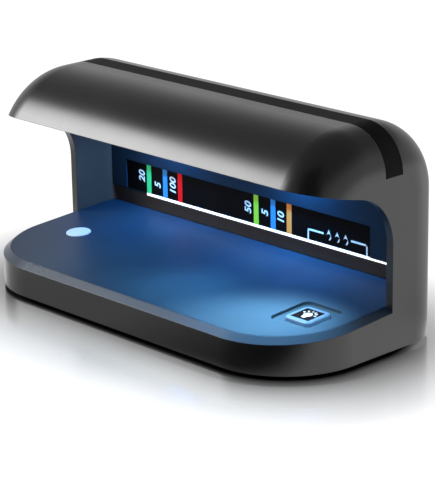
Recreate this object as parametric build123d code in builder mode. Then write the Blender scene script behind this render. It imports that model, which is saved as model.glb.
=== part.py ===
from build123d import *
import math
import os

# Desktop counterfeit bill detector: a C-shaped housing with a sloping note deck under a lamp hood.
# X runs along the width (right when facing the front), the front faces -Y, and +Z is up.
# The origin is on the surface the feet stand on, under the middle of the housing.
# All sizes are in millimetres.

os.makedirs("parts", exist_ok=True)

# ---- overall size ----
WIDTH = 220.0
DEPTH = 104.0
HEIGHT = 104.0
FOOT_GAP = 1.6            # height of the housing's lower edge above the surface

# ---- housing ----
SIDE_WALL = 3.8
HOOD_SKIN = 3.0
REAR_WALL = 5.0
EDGE_R = 21.0             # rounding of the two side outlines: hood, top and rear
INNER_R = 14.0            # the same rounding inside the housing
REAR_TOP_R = 33.0
BASE_CORNER_R = 41.0      # front corners of the base, seen from above
HOOD_R = 41.8             # arc of the hood's front
HOOD_ARC_Y = 1.2
LIP_Z = 83.5
HOOD_EDGE_SLOPE = 0.23    # the side opening's upper edge falls towards the back
OPENING_R = 26.0
WALL_FRONT_Y = 15.1       # front edge of the side walls
RIM_DROP = 2.6            # the rim's bevel: height and width, leaving a narrow flat land
RIM_WIDTH = SIDE_WALL - 0.3

# ---- note deck ----
DECK_SLOPE = 0.06         # the deck rises towards the back
DECK_FRONT_Z = 18.2
DECK_T = 2.2
DECK_REAR_Y = 42.0
SEAM = 0.15

# ---- back of the chamber ----
PANEL_Y = 38.3
PANEL_T = 2.4
LABEL_DEPTH = 0.8
LABEL_T = 0.5
LABEL_X = (-93.8, 75.2)
LABEL_TOP_Z = 47.3
LIGHT_Z = (30.9, 32.2)
LIGHT_LEFT_X = -79.0
BEZEL_Y = 39.3
BEZEL_T = 1.7
BEZEL_LEAN = 5.0          # slant of the bezel's left end
CEILING_Z = 77.3
CEILING_T = 2.0
CHAMBER_X = WIDTH / 2 - SIDE_WALL

# ---- top strip ----
STRIP_Y = (10.2, 21.0)
STRIP_T = 1.0
STRIP_END_Z = 82.8

# ---- lamp ----
LAMP_Y = 9.0
LAMP_LENGTH = 180.0
LAMP_WINDOW_W = 24.0

# ---- key and window in the deck ----
KEY_X, KEY_Y = 86.3, -14.6
KEY_SIZE = 15.4
KEY_GAP = 0.3
KEY_PROUD = 0.5
SCOOP_X = (73.5, 97.0)
SCOOP_Y = (-27.0, -1.4)
SCOOP_DEPTH = 1.5
SCOOP_R = 3.5
PAD_Z = (17.0, 19.4)
WINDOW_X, WINDOW_Y = -81.0, -5.8
WINDOW_R = 6.2

# ---- rear cover, switch and inlet ----
COVER_X = 84.0
COVER_Z = (7.0, 66.0)
COVER_R = 6.0
COVER_T = 2.0
COVER_SINK = 1.4
LEDGE = 2.5
SERVICE_Z = 15.5
JACK_X = 76.0
ROCKER_X = 50.0
ROCKER_PIVOT_Y = 47.8
ROCKER_TILT = 10.0

# ---- base ----
PLATE_T = 2.4
FOOT_R = 7.0
FOOT_SINK = 0.8
BOSS_R = 3.5
BOARD_T = 1.6
BOARD_Z = 7.0

REAR_Y = DEPTH / 2
FRONT_Y = -DEPTH / 2
LEDGE_Y = REAR_Y - REAR_WALL
COVER_Y = REAR_Y - COVER_SINK
PLATE_TOP_Z = FOOT_GAP + PLATE_T
HOOD_ARC_Z = HEIGHT - HOOD_R
LIP_Y = HOOD_ARC_Y - math.sqrt(HOOD_R**2 - (LIP_Z - HOOD_ARC_Z) ** 2)
REAR_ARC_Y = REAR_Y - REAR_TOP_R
LABEL_Y = PANEL_Y + LABEL_DEPTH
BOSS_Y = (LEDGE_Y - 1.6, COVER_Y - COVER_T)
COVER_BOSS_R = 4.0

BASE_SCREWS = [(-60, -38), (60, -38), (-97, 12), (97, 12), (-56, 32), (56, 32)]
FEET = [(-84, -26), (84, -26), (-84, 34), (84, 34)]
COVER_SCREWS = [(-77, 14), (-77, 59), (0, 14), (0, 59), (77, 34), (77, 59)]
BOARD_X, BOARD_Y = -2.0, 2.0
BOARD_LENGTH, BOARD_WIDTH = 72.0, 44.0
BOARD_POSTS = [(BOARD_X + sx * 31, BOARD_Y + sy * 17) for sx in (-1, 1) for sy in (-1, 1)]
KEY_POSTS = [(KEY_X - 10, KEY_Y), (KEY_X + 10, KEY_Y)]


def deck_z(y):
    """Height of the deck's top surface at depth y."""
    return DECK_FRONT_Z + DECK_SLOPE * (y - FRONT_Y)


def deck_plane(drop=0.0):
    """The deck's sloping top plane, lowered by drop."""
    return Plane(origin=(0, FRONT_Y, DECK_FRONT_Z - drop), x_dir=(1, 0, 0), z_dir=(0, -DECK_SLOPE, 1))


def box_between(x, y, z, mode=Mode.ADD):
    """A box given by its limits along the three axes."""
    centre = ((x[0] + x[1]) / 2, (y[0] + y[1]) / 2, (z[0] + z[1]) / 2)
    with Locations(centre):
        Box(x[1] - x[0], y[1] - y[0], z[1] - z[0], mode=mode)


def save(builder, name):
    """Label a finished sub-part and write it to its own STEP file."""
    builder.part.label = name
    export_step(builder.part, f"parts/{name}.step")


def side_edges(part, half_width):
    """The edges of the two side outlines that follow the hood, the top and the rear."""
    chosen = []
    for edge in part.edges():
        middle = edge @ 0.5
        flat = abs((edge @ 0).X - (edge @ 1).X) < 0.01 and abs(abs(middle.X) - half_width) < 0.01
        if flat and (middle.Z > LIP_Z + 1 or middle.Y > LEDGE_Y - 1):
            chosen.append(edge)
    return chosen


def hood_block():
    """Hood, side walls and rear as one block, before it is hollowed."""
    start = 180 - math.degrees(math.asin((LIP_Z - HOOD_ARC_Z) / HOOD_R))
    wall_top = LIP_Z - HOOD_EDGE_SLOPE * (WALL_FRONT_Y - LIP_Y)
    with BuildPart() as block:
        with BuildSketch(Plane.YZ):
            with BuildLine():
                front = CenterArc((HOOD_ARC_Y, HOOD_ARC_Z), HOOD_R, start, 90 - start)
                Line(front @ 1, (REAR_ARC_Y, HEIGHT))
                rear = CenterArc((REAR_ARC_Y, HEIGHT - REAR_TOP_R), REAR_TOP_R, 90, -90)
                back = Line(rear @ 1, (REAR_Y, FOOT_GAP))
                bottom = Line(back @ 1, (WALL_FRONT_Y, FOOT_GAP))
                FilletPolyline(bottom @ 1, (WALL_FRONT_Y, wall_top), front @ 0, radius=OPENING_R)
            make_face()
        extrude(amount=WIDTH / 2, both=True)
        fillet(side_edges(block.part, WIDTH / 2), EDGE_R)
    return block.part


def base_block():
    """The base in front of the side walls, with its bevelled sloping rim."""
    length = WALL_FRONT_Y + 4 - FRONT_Y
    with BuildPart() as block:
        with BuildSketch(Plane.XY.offset(FOOT_GAP)) as outline:
            with Locations((0, FRONT_Y + length / 2)):
                Rectangle(WIDTH, length)
            fillet(outline.vertices().group_by(Axis.Y)[0], BASE_CORNER_R)
        extrude(amount=2 * DECK_FRONT_Z)
        split(bisect_by=deck_plane(), keep=Keep.BOTTOM)
        rim_face = block.faces().sort_by(Axis.Z)[-1]
        rim_edges = rim_face.edges().sort_by(Axis.Y)[:-1]
        chamfer(rim_edges, length=RIM_WIDTH, length2=RIM_DROP, reference=rim_face)
    return block.part


def hood_cavity(clear=0.0):
    """The hollow of the hood and of the space behind the chamber."""
    radius = HOOD_R - HOOD_SKIN - clear
    start = 180 - math.degrees(math.asin((CEILING_Z - HOOD_ARC_Z) / radius))
    top_z = HOOD_ARC_Z + radius
    rear_y = LEDGE_Y - clear
    rear_r = REAR_TOP_R - HOOD_SKIN
    floor_z = DECK_FRONT_Z + 5
    half = CHAMBER_X - clear
    with BuildPart() as block:
        with BuildSketch(Plane.YZ):
            with BuildLine():
                front = CenterArc((HOOD_ARC_Y, HOOD_ARC_Z), radius, start, 90 - start)
                Line(front @ 1, (rear_y - rear_r, top_z))
                rear = CenterArc((rear_y - rear_r, top_z - rear_r), rear_r, 90, -90)
                Polyline(rear @ 1, (rear_y, floor_z), (0, floor_z), (0, CEILING_Z), front @ 0)
            make_face()
        extrude(amount=half, both=True)
        fillet(side_edges(block.part, half), INNER_R - clear)
    return block.part


def base_cavity(inset, z_from, z_to):
    """The base's inner outline, drawn in from the outer one by inset and raised as a block."""
    rear = LEDGE_Y - (inset - SIDE_WALL)
    front = FRONT_Y + inset
    with BuildPart() as block:
        with BuildSketch(Plane.XY.offset(z_from)) as outline:
            with Locations((0, (front + rear) / 2)):
                Rectangle(WIDTH - 2 * inset, rear - front)
            fillet(outline.vertices().group_by(Axis.Y)[0], BASE_CORNER_R - inset)
            fillet(outline.vertices().group_by(Axis.Y)[-1], INNER_R - (inset - SIDE_WALL))
        extrude(amount=z_to - z_from)
    return block.part


def strip_band(grow):
    """The band that the top strip fills, wrapped over the top and down both sides."""
    with BuildPart() as band:
        with BuildSketch(Plane.XZ.offset(-STRIP_Y[0] + grow)) as face:
            with Locations((0, (HEIGHT + STRIP_END_Z) / 2)):
                Rectangle(WIDTH, HEIGHT - STRIP_END_Z)
            fillet(face.vertices().group_by(Axis.Y)[-1], EDGE_R)
        extrude(amount=-(STRIP_Y[1] - STRIP_Y[0] + 2 * grow))
        with BuildSketch(Plane.XZ.offset(-STRIP_Y[0] + grow)) as core:
            with Locations((0, (HEIGHT + STRIP_END_Z) / 2 - STRIP_T)):
                Rectangle(WIDTH - 2 * STRIP_T, HEIGHT - STRIP_END_Z)
            fillet(core.vertices().group_by(Axis.Y)[-1], EDGE_R - STRIP_T)
        extrude(amount=-(STRIP_Y[1] - STRIP_Y[0] + 2 * grow), mode=Mode.SUBTRACT)
    return band.part


# ======================= housing =======================
hood = hood_block()
base = base_block()
hollow = hood_cavity()
base_hollow = base_cavity(SIDE_WALL, FOOT_GAP - 1, DECK_FRONT_Z + 8)
strip_groove = strip_band(SEAM)

with BuildPart() as housing_shell:
    add(hood)
    add(base)
    add(hollow, mode=Mode.SUBTRACT)
    add(base_hollow, mode=Mode.SUBTRACT)
    add(strip_groove, mode=Mode.SUBTRACT)
    # pocket and through opening for the rear cover
    with BuildSketch(Plane.XZ.offset(-(COVER_Y - COVER_T))):
        with Locations((0, sum(COVER_Z) / 2)):
            RectangleRounded(2 * COVER_X, COVER_Z[1] - COVER_Z[0], COVER_R)
    extrude(amount=-REAR_WALL, mode=Mode.SUBTRACT)
    with BuildSketch(Plane.XZ.offset(-(LEDGE_Y - 1))):
        with Locations((0, sum(COVER_Z) / 2)):
            RectangleRounded(2 * (COVER_X - LEDGE), COVER_Z[1] - COVER_Z[0] - 2 * LEDGE, COVER_R - LEDGE)
    extrude(amount=-REAR_WALL, mode=Mode.SUBTRACT)
    # bosses for the rear cover's screws, each joined to the ledge by a web
    for x, z in COVER_SCREWS:
        edge_x = math.copysign(COVER_X - LEDGE + 0.5, x)
        edge_z = COVER_Z[0] + LEDGE - 0.5 if z < sum(COVER_Z) / 2 else COVER_Z[1] - LEDGE + 0.5
        if x == 0:
            box_between((-2, 2), BOSS_Y, sorted((z, edge_z)))
        else:
            box_between(sorted((x, edge_x)), BOSS_Y, (z - 2, z + 2))
        with Locations(Location((x, sum(BOSS_Y) / 2, z), (-90, 0, 0))):
            Cylinder(radius=COVER_BOSS_R, height=BOSS_Y[1] - BOSS_Y[0])
            Cylinder(radius=1.35, height=BOSS_Y[1] - BOSS_Y[0], mode=Mode.SUBTRACT)
save(housing_shell, "housing_shell")

with BuildPart() as top_strip:
    add(strip_band(0.0))
    strip_ends = top_strip.edges().filter_by(Axis.X).group_by(Axis.Z)[0]
    fillet(strip_ends, 1.6)
save(top_strip, "top_strip")

with BuildPart() as rear_cover:
    with BuildSketch(Plane.XZ.offset(-(COVER_Y - COVER_T))):
        with Locations((0, sum(COVER_Z) / 2)):
            RectangleRounded(2 * (COVER_X - SEAM), COVER_Z[1] - COVER_Z[0] - 2 * SEAM, COVER_R - SEAM)
    extrude(amount=-COVER_T)
    chamfer(rear_cover.faces().sort_by(Axis.Y)[-1].edges(), 0.4)
    with Locations(*[Location((x, COVER_Y, z), (-90, 0, 0)) for x, z in COVER_SCREWS]):
        CounterBoreHole(radius=1.6, counter_bore_radius=3.1, counter_bore_depth=1.0)
    with Locations(Location((JACK_X, COVER_Y, SERVICE_Z), (-90, 0, 0))):
        Hole(radius=4.15)
    box_between((ROCKER_X - 7.3, ROCKER_X + 7.3), (COVER_Y - 3, COVER_Y + 1),
                (SERVICE_Z - 4.5, SERVICE_Z + 4.5), mode=Mode.SUBTRACT)
save(rear_cover, "rear_cover")

plate_blank = base_cavity(SIDE_WALL + SEAM, FOOT_GAP, PLATE_TOP_Z)
with BuildPart() as bottom_cover:
    add(plate_blank)
    with Locations(*[(x, y, (PLATE_TOP_Z + BOARD_Z) / 2) for x, y in BOARD_POSTS + KEY_POSTS]):
        Cylinder(radius=2.8, height=BOARD_Z - PLATE_TOP_Z)
    with Locations(*[(x, y, BOARD_Z) for x, y in BOARD_POSTS + KEY_POSTS]):
        Hole(radius=1.0, depth=3.0)
    with Locations(*[Location((x, y, FOOT_GAP), (180, 0, 0)) for x, y in BASE_SCREWS]):
        CounterBoreHole(radius=1.6, counter_bore_radius=3.2, counter_bore_depth=1.4)
    with Locations(*[Location((x, y, FOOT_GAP), (180, 0, 0)) for x, y in FEET]):
        Hole(radius=FOOT_R + SEAM, depth=FOOT_SINK)
    # vent slots under the board
    with BuildSketch(Plane.XY.offset(FOOT_GAP)):
        with GridLocations(9, 1, 7, 1):
            SlotOverall(22, 2.4, rotation=90)
    extrude(amount=PLATE_T, mode=Mode.SUBTRACT)
save(bottom_cover, "bottom_cover")

with BuildPart() as rubber_feet:
    with Locations(*[(x, y, (FOOT_GAP + FOOT_SINK) / 2) for x, y in FEET]):
        Cylinder(radius=FOOT_R, height=FOOT_GAP + FOOT_SINK)
    chamfer(rubber_feet.edges().group_by(Axis.Z)[0], 0.5)
save(rubber_feet, "rubber_feet")

# ======================= note deck =======================
deck_blank = base_cavity(SIDE_WALL + SEAM, DECK_FRONT_Z - 2 * DECK_T, DECK_FRONT_Z + 10)
with BuildPart() as note_deck:
    add(deck_blank)
    split(bisect_by=deck_plane(), keep=Keep.BOTTOM)
    split(bisect_by=deck_plane(DECK_T), keep=Keep.TOP)
    split(bisect_by=Plane.XZ.offset(-DECK_REAR_Y), keep=Keep.TOP)
    # screw bosses standing on the bottom cover
    for x, y in BASE_SCREWS:
        boss_top = deck_z(y) - DECK_T + 0.5
        with Locations((x, y, (PLATE_TOP_Z + boss_top) / 2)):
            Cylinder(radius=BOSS_R, height=boss_top - PLATE_TOP_Z)
        with Locations(Location((x, y, PLATE_TOP_Z), (180, 0, 0))):
            Hole(radius=1.2, depth=9)
    # thick pad under the scoop that the key works in
    box_between((SCOOP_X[0] - 3, SCOOP_X[1] + 3), (SCOOP_Y[0] - 3, SCOOP_Y[1] + 3), PAD_Z)
    with BuildSketch(deck_plane(SCOOP_DEPTH)):
        with Locations((sum(SCOOP_X) / 2, sum(SCOOP_Y) / 2 - FRONT_Y)):
            RectangleRounded(SCOOP_X[1] - SCOOP_X[0], SCOOP_Y[1] - SCOOP_Y[0], SCOOP_R)
    extrude(amount=5, mode=Mode.SUBTRACT)
    with BuildSketch(Plane.XY.offset(PAD_Z[0] - 1)):
        with Locations((KEY_X, KEY_Y)):
            RectangleRounded(KEY_SIZE + 2 * KEY_GAP, KEY_SIZE + 2 * KEY_GAP, 2.5 + KEY_GAP)
    extrude(amount=5, mode=Mode.SUBTRACT)
    # seat of the round window
    with Locations((WINDOW_X, WINDOW_Y, deck_z(WINDOW_Y))):
        Cylinder(radius=WINDOW_R + SEAM, height=3 * DECK_T, mode=Mode.SUBTRACT)
save(note_deck, "note_deck")

with BuildPart() as deck_window:
    with Locations((WINDOW_X, WINDOW_Y, deck_z(WINDOW_Y))):
        Cylinder(radius=WINDOW_R, height=2 * DECK_T)
    split(bisect_by=deck_plane(-0.3), keep=Keep.BOTTOM)
    split(bisect_by=deck_plane(DECK_T), keep=Keep.TOP)
    fillet(deck_window.faces().sort_by(Axis.Z)[-1].edges(), 0.25)
save(deck_window, "deck_window")

SPOT_Z = deck_z(WINDOW_Y) - DECK_T - 4.5
with BuildPart() as spot_board:
    box_between((WINDOW_X - 8, WINDOW_X + 8), (WINDOW_Y - 6, WINDOW_Y + 6), (SPOT_Z, SPOT_Z + 1))
    with Locations((WINDOW_X - 6, WINDOW_Y, (SPOT_Z + PLATE_TOP_Z) / 2),
                   (WINDOW_X + 6, WINDOW_Y, (SPOT_Z + PLATE_TOP_Z) / 2)):
        Cylinder(radius=1.5, height=SPOT_Z - PLATE_TOP_Z)
save(spot_board, "spot_board")

with BuildPart() as spot_led:
    with Locations((WINDOW_X, WINDOW_Y, SPOT_Z + 1.9)):
        Cylinder(radius=2.4, height=1.8)
    fillet(spot_led.edges().group_by(Axis.Z)[-1], 0.8)
save(spot_led, "spot_led")

# ======================= key =======================
FLANGE_T = 1.2
FLANGE_Z = PAD_Z[0] - KEY_GAP - FLANGE_T
STEM_END_Z = 13.0
ICON_SIZE = 11.0
ICON_SEAT_Z = deck_z(KEY_Y) + KEY_PROUD - 0.75
SWITCH_TOP_Z = BOARD_Z + 1.2 + 3.5

with BuildPart() as key_cap:
    with BuildSketch(Plane.XY.offset(FLANGE_Z)):
        with Locations((KEY_X, KEY_Y)):
            RectangleRounded(KEY_SIZE, KEY_SIZE, 2.5)
    extrude(amount=10)
    split(bisect_by=deck_plane(-KEY_PROUD), keep=Keep.BOTTOM)
    chamfer(key_cap.faces().sort_by(Axis.Z)[-1].edges(), 0.5)
    with BuildSketch(Plane.XY.offset(FLANGE_Z)):
        with Locations((KEY_X, KEY_Y)):
            RectangleRounded(KEY_SIZE + 4, KEY_SIZE + 4, 3)
    extrude(amount=FLANGE_T)
    box_between((KEY_X - ICON_SIZE / 2, KEY_X + ICON_SIZE / 2),
                (KEY_Y - ICON_SIZE / 2, KEY_Y + ICON_SIZE / 2),
                (ICON_SEAT_Z, deck_z(KEY_Y) + 5), mode=Mode.SUBTRACT)
    with Locations((KEY_X, KEY_Y, (FLANGE_Z + STEM_END_Z) / 2)):
        Cylinder(radius=2.2, height=FLANGE_Z - STEM_END_Z)
save(key_cap, "key_cap")

with BuildPart() as key_icon:
    with BuildSketch(Plane.XY.offset(ICON_SEAT_Z)):
        with Locations((KEY_X, KEY_Y)):
            Rectangle(ICON_SIZE - 0.1, ICON_SIZE - 0.1)
    extrude(amount=3)
    split(bisect_by=deck_plane(-KEY_PROUD + 0.05), keep=Keep.BOTTOM)
save(key_icon, "key_icon")

with BuildPart() as key_board:
    box_between((KEY_X - 14, KEY_X + 14), (KEY_Y - 9, KEY_Y + 9), (BOARD_Z, BOARD_Z + 1.2))
    with Locations(*[(x, y, BOARD_Z + 1.2) for x, y in KEY_POSTS]):
        Hole(radius=1.3)
save(key_board, "key_board")

with BuildPart() as key_switch:
    box_between((KEY_X - 3, KEY_X + 3), (KEY_Y - 3, KEY_Y + 3), (BOARD_Z + 1.2, SWITCH_TOP_Z))
    with Locations((KEY_X, KEY_Y, SWITCH_TOP_Z)):
        Hole(radius=1.75, depth=2.2)
save(key_switch, "key_switch")

with BuildPart() as key_plunger:
    with Locations((KEY_X, KEY_Y, (STEM_END_Z + SWITCH_TOP_Z - 0.9) / 2)):
        Cylinder(radius=1.7, height=STEM_END_Z - SWITCH_TOP_Z + 0.9)
save(key_plunger, "key_plunger")

SPRING_WIRE_R = 0.3
SPRING_R = 5.4
with BuildPart() as key_spring:
    spring_from = BOARD_Z + 1.2 + SPRING_WIRE_R + 0.05
    spring_to = FLANGE_Z - SPRING_WIRE_R - 0.05
    with BuildLine(Plane((KEY_X, KEY_Y, spring_from))) as spring_path:
        Helix(pitch=(spring_to - spring_from) / 4, height=spring_to - spring_from, radius=SPRING_R)
    with BuildSketch(Plane(origin=spring_path.line @ 0, z_dir=spring_path.line % 0)):
        Circle(SPRING_WIRE_R)
    sweep(path=spring_path.line, is_frenet=True)
save(key_spring, "key_spring")

# ======================= back of the chamber =======================
PANEL_BACK_Y = PANEL_Y + PANEL_T
SKIRT_Y = BEZEL_Y + BEZEL_T
SKIRT_T = 1.2
SKIRT_X = (-CHAMBER_X, LIGHT_LEFT_X - 0.2)
DECK_END_Z = deck_z(DECK_REAR_Y) + 0.1
hollow_fit = hood_cavity(SEAM)
with BuildPart() as back_panel:
    box_between((-CHAMBER_X, CHAMBER_X), (PANEL_Y, PANEL_BACK_Y), (LIGHT_Z[1], CEILING_Z))
    box_between((LABEL_X[0] - 0.1, LABEL_X[1] + 0.1), (PANEL_Y - 1, LABEL_Y + LABEL_T),
                (LIGHT_Z[1] - 1, LABEL_TOP_Z + 0.1), mode=Mode.SUBTRACT)
    # strip beside the light guide, and the skirt hanging down behind the bezel's slanted end
    box_between(SKIRT_X, (BEZEL_Y, PANEL_BACK_Y), LIGHT_Z)
    box_between(SKIRT_X, (PANEL_BACK_Y, SKIRT_Y + SKIRT_T), (LIGHT_Z[0], LIGHT_Z[1] + 3))
    box_between(SKIRT_X, (SKIRT_Y, SKIRT_Y + SKIRT_T), (DECK_END_Z, LIGHT_Z[0]))
    add(hollow_fit, mode=Mode.INTERSECT)
save(back_panel, "back_panel")

with BuildPart() as label_plate:
    box_between(LABEL_X, (LABEL_Y, LABEL_Y + LABEL_T), (LIGHT_Z[1], LABEL_TOP_Z))
save(label_plate, "label_plate")

with BuildPart() as lower_bezel:
    with BuildSketch(Plane.XZ.offset(-BEZEL_Y)):
        with BuildLine():
            Polyline((-CHAMBER_X, LIGHT_Z[0]), (CHAMBER_X, LIGHT_Z[0]), (CHAMBER_X, DECK_END_Z),
                     (-CHAMBER_X + BEZEL_LEAN, DECK_END_Z), close=True)
        make_face()
    extrude(amount=-BEZEL_T)
    add(hollow_fit, mode=Mode.INTERSECT)
save(lower_bezel, "lower_bezel")

GUIDE_BACK_Y = 43.0
with BuildPart() as light_guide:
    box_between((LIGHT_LEFT_X, CHAMBER_X), (LABEL_Y - 0.2, GUIDE_BACK_Y), LIGHT_Z)
    add(hollow_fit, mode=Mode.INTERSECT)
save(light_guide, "light_guide")

with BuildPart() as white_leds:
    with Locations((10, GUIDE_BACK_Y + 0.45, sum(LIGHT_Z) / 2)):
        with GridLocations(15, 1, 12, 1):
            Box(3.0, 0.8, 1.2)
save(white_leds, "white_leds")

with BuildPart() as white_led_board:
    box_between((-78, 98), (GUIDE_BACK_Y + 0.85, GUIDE_BACK_Y + 2.05), (27, 36))
save(white_led_board, "white_led_board")

# ======================= lamp hood =======================
slope_end_y = LIP_Y + (LIP_Z - CEILING_Z) / HOOD_EDGE_SLOPE
liner_lip_z = LIP_Z + HOOD_EDGE_SLOPE * 3
with BuildPart() as hood_liner:
    with BuildSketch(Plane.YZ):
        with BuildLine():
            Polyline((LIP_Y - 3, liner_lip_z), (slope_end_y, CEILING_Z), (PANEL_BACK_Y, CEILING_Z),
                     (PANEL_BACK_Y, CEILING_Z + CEILING_T), (slope_end_y, CEILING_Z + CEILING_T),
                     (LIP_Y - 3, liner_lip_z + CEILING_T), close=True)
        make_face()
    extrude(amount=WIDTH / 2, both=True)
    add(hollow_fit, mode=Mode.INTERSECT)
    box_between((-LAMP_LENGTH / 2 - 2, LAMP_LENGTH / 2 + 2),
                (LAMP_Y - LAMP_WINDOW_W / 2, LAMP_Y + LAMP_WINDOW_W / 2), (CEILING_Z - 1, CEILING_Z + 5),
                mode=Mode.SUBTRACT)
save(hood_liner, "hood_liner")

with BuildPart() as uv_window:
    box_between((-LAMP_LENGTH / 2 - 1.8, LAMP_LENGTH / 2 + 1.8),
                (LAMP_Y - LAMP_WINDOW_W / 2 + 0.2, LAMP_Y + LAMP_WINDOW_W / 2 - 0.2),
                (CEILING_Z + 0.4, CEILING_Z + 2.0))
save(uv_window, "uv_window")

REFLECTOR_Z = CEILING_Z + CEILING_T
REFLECTOR_H = 9.0
with BuildPart() as uv_reflector:
    with BuildSketch(Plane.YZ):
        with BuildLine():
            trough = Polyline((LAMP_Y - 15, REFLECTOR_Z + 0.3), (LAMP_Y - 12, REFLECTOR_Z + 0.3),
                              (LAMP_Y - 6, REFLECTOR_Z + REFLECTOR_H),
                              (LAMP_Y + 6, REFLECTOR_Z + REFLECTOR_H),
                              (LAMP_Y + 12, REFLECTOR_Z + 0.3), (LAMP_Y + 15, REFLECTOR_Z + 0.3))
            offset(trough, amount=0.3, side=Side.BOTH)
        make_face()
    extrude(amount=LAMP_LENGTH / 2, both=True)
save(uv_reflector, "uv_reflector")

UV_BOARD_Z = REFLECTOR_Z + REFLECTOR_H - 0.35 - 1.2
with BuildPart() as uv_led_board:
    box_between((-LAMP_LENGTH / 2 + 1, LAMP_LENGTH / 2 - 1), (LAMP_Y - 5, LAMP_Y + 5),
                (UV_BOARD_Z, UV_BOARD_Z + 1.2))
save(uv_led_board, "uv_led_board")

with BuildPart() as uv_leds:
    with Locations((0, LAMP_Y, UV_BOARD_Z - 0.75)):
        with GridLocations(19, 1, 9, 1):
            Box(3.5, 3.5, 1.5)
    fillet(uv_leds.edges().filter_by(Axis.Z), 0.6)
save(uv_leds, "uv_leds")

# ======================= main board =======================
BOARD_TOP_Z = BOARD_Z + BOARD_T
with BuildPart() as main_board:
    box_between((BOARD_X - BOARD_LENGTH / 2, BOARD_X + BOARD_LENGTH / 2),
                (BOARD_Y - BOARD_WIDTH / 2, BOARD_Y + BOARD_WIDTH / 2), (BOARD_Z, BOARD_TOP_Z))
    fillet(main_board.edges().filter_by(Axis.Z), 2)
    with Locations(*[(x, y, BOARD_TOP_Z) for x, y in BOARD_POSTS]):
        Hole(radius=1.4)
save(main_board, "main_board")

with BuildPart() as board_chips:
    box_between((BOARD_X - 5, BOARD_X + 5), (BOARD_Y - 6, BOARD_Y + 4), (BOARD_TOP_Z, BOARD_TOP_Z + 1.6))
    box_between((BOARD_X - 19, BOARD_X - 15), (BOARD_Y - 2.5, BOARD_Y + 2.5),
                (BOARD_TOP_Z, BOARD_TOP_Z + 1.5))
    box_between((BOARD_X + 25, BOARD_X + 31), (BOARD_Y - 4, BOARD_Y + 4), (BOARD_TOP_Z, BOARD_TOP_Z + 2.5))
save(board_chips, "board_chips")

with BuildPart() as capacitors:
    with Locations(*[(BOARD_X + side, BOARD_Y + 12, BOARD_TOP_Z + 3.9) for side in (9, 18)]):
        Cylinder(radius=3.15, height=7.8)
    fillet(capacitors.edges().group_by(Axis.Z)[-1], 0.5)
save(capacitors, "capacitors")

with BuildPart() as buzzer:
    with Locations((BOARD_X - 26, BOARD_Y - 4, BOARD_TOP_Z + 3.4)):
        Cylinder(radius=6, height=6.8)
    with Locations((BOARD_X - 26, BOARD_Y - 4, BOARD_TOP_Z + 6.8)):
        Hole(radius=1, depth=2)
save(buzzer, "buzzer")

CONNECTOR_H = 5.5
CONNECTORS = [(BOARD_X - 22, BOARD_Y + 18), (BOARD_X - 8, BOARD_Y + 18),
              (BOARD_X + 32, BOARD_Y + 10), (BOARD_X + 32, BOARD_Y - 10)]
with BuildPart() as board_connectors:
    for x, y in CONNECTORS:
        along_x = y > BOARD_Y + 15
        half = (3.8, 2.6) if along_x else (2.6, 3.8)
        box_between((x - half[0], x + half[0]), (y - half[1], y + half[1]),
                    (BOARD_TOP_Z, BOARD_TOP_Z + CONNECTOR_H))
save(board_connectors, "board_connectors")

# ======================= inlet and switch in the rear cover =======================
COVER_IN_Y = COVER_Y - COVER_T
with BuildPart() as dc_jack:
    box_between((JACK_X - 4.5, JACK_X + 4.5), (COVER_IN_Y - 10, COVER_IN_Y), (SERVICE_Z - 5, SERVICE_Z + 5))
    with BuildSketch(Plane.XZ.offset(-COVER_IN_Y)):
        with Locations((JACK_X, SERVICE_Z)):
            Circle(4.0)
    extrude(amount=-COVER_T)
    with BuildSketch(Plane.XZ.offset(-COVER_Y)):
        with Locations((JACK_X, SERVICE_Z)):
            Circle(5.4)
    extrude(amount=-1.0)
    with BuildSketch(Plane.XZ.offset(-(COVER_Y + 1.0))):
        with Locations((JACK_X, SERVICE_Z)):
            Circle(2.8)
    extrude(amount=9.5, mode=Mode.SUBTRACT)
save(dc_jack, "dc_jack")

with BuildPart() as jack_pin:
    with BuildSketch(Plane.XZ.offset(-(COVER_Y + 1.0 - 9.5))):
        with Locations((JACK_X, SERVICE_Z)):
            Circle(1.0)
    extrude(amount=-8.5)
    fillet(jack_pin.edges().group_by(Axis.Y)[-1], 0.4)
save(jack_pin, "jack_pin")

ROCKER_ARC_R = 6.1
ROCKER_HALF_Z = 3.3
SWITCH_BACK_Y = COVER_IN_Y - 8.4
with BuildPart() as rocker_body:
    box_between((ROCKER_X - 7.1, ROCKER_X + 7.1), (SWITCH_BACK_Y, COVER_Y),
                (SERVICE_Z - 4.3, SERVICE_Z + 4.3))
    box_between((ROCKER_X - 8.2, ROCKER_X + 8.2), (COVER_Y, COVER_Y + 1.1),
                (SERVICE_Z - 5.4, SERVICE_Z + 5.4))
    with BuildSketch(Plane.XY.offset(SERVICE_Z)):
        with Locations((ROCKER_X, ROCKER_PIVOT_Y)):
            Circle(ROCKER_ARC_R + 0.3)
    extrude(amount=ROCKER_HALF_Z + 0.3, both=True, mode=Mode.SUBTRACT)
    with Locations((ROCKER_X, ROCKER_PIVOT_Y, SERVICE_Z)):
        Cylinder(radius=0.85, height=2 * ROCKER_HALF_Z + 1.6, mode=Mode.SUBTRACT)
save(rocker_body, "rocker_body")

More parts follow.
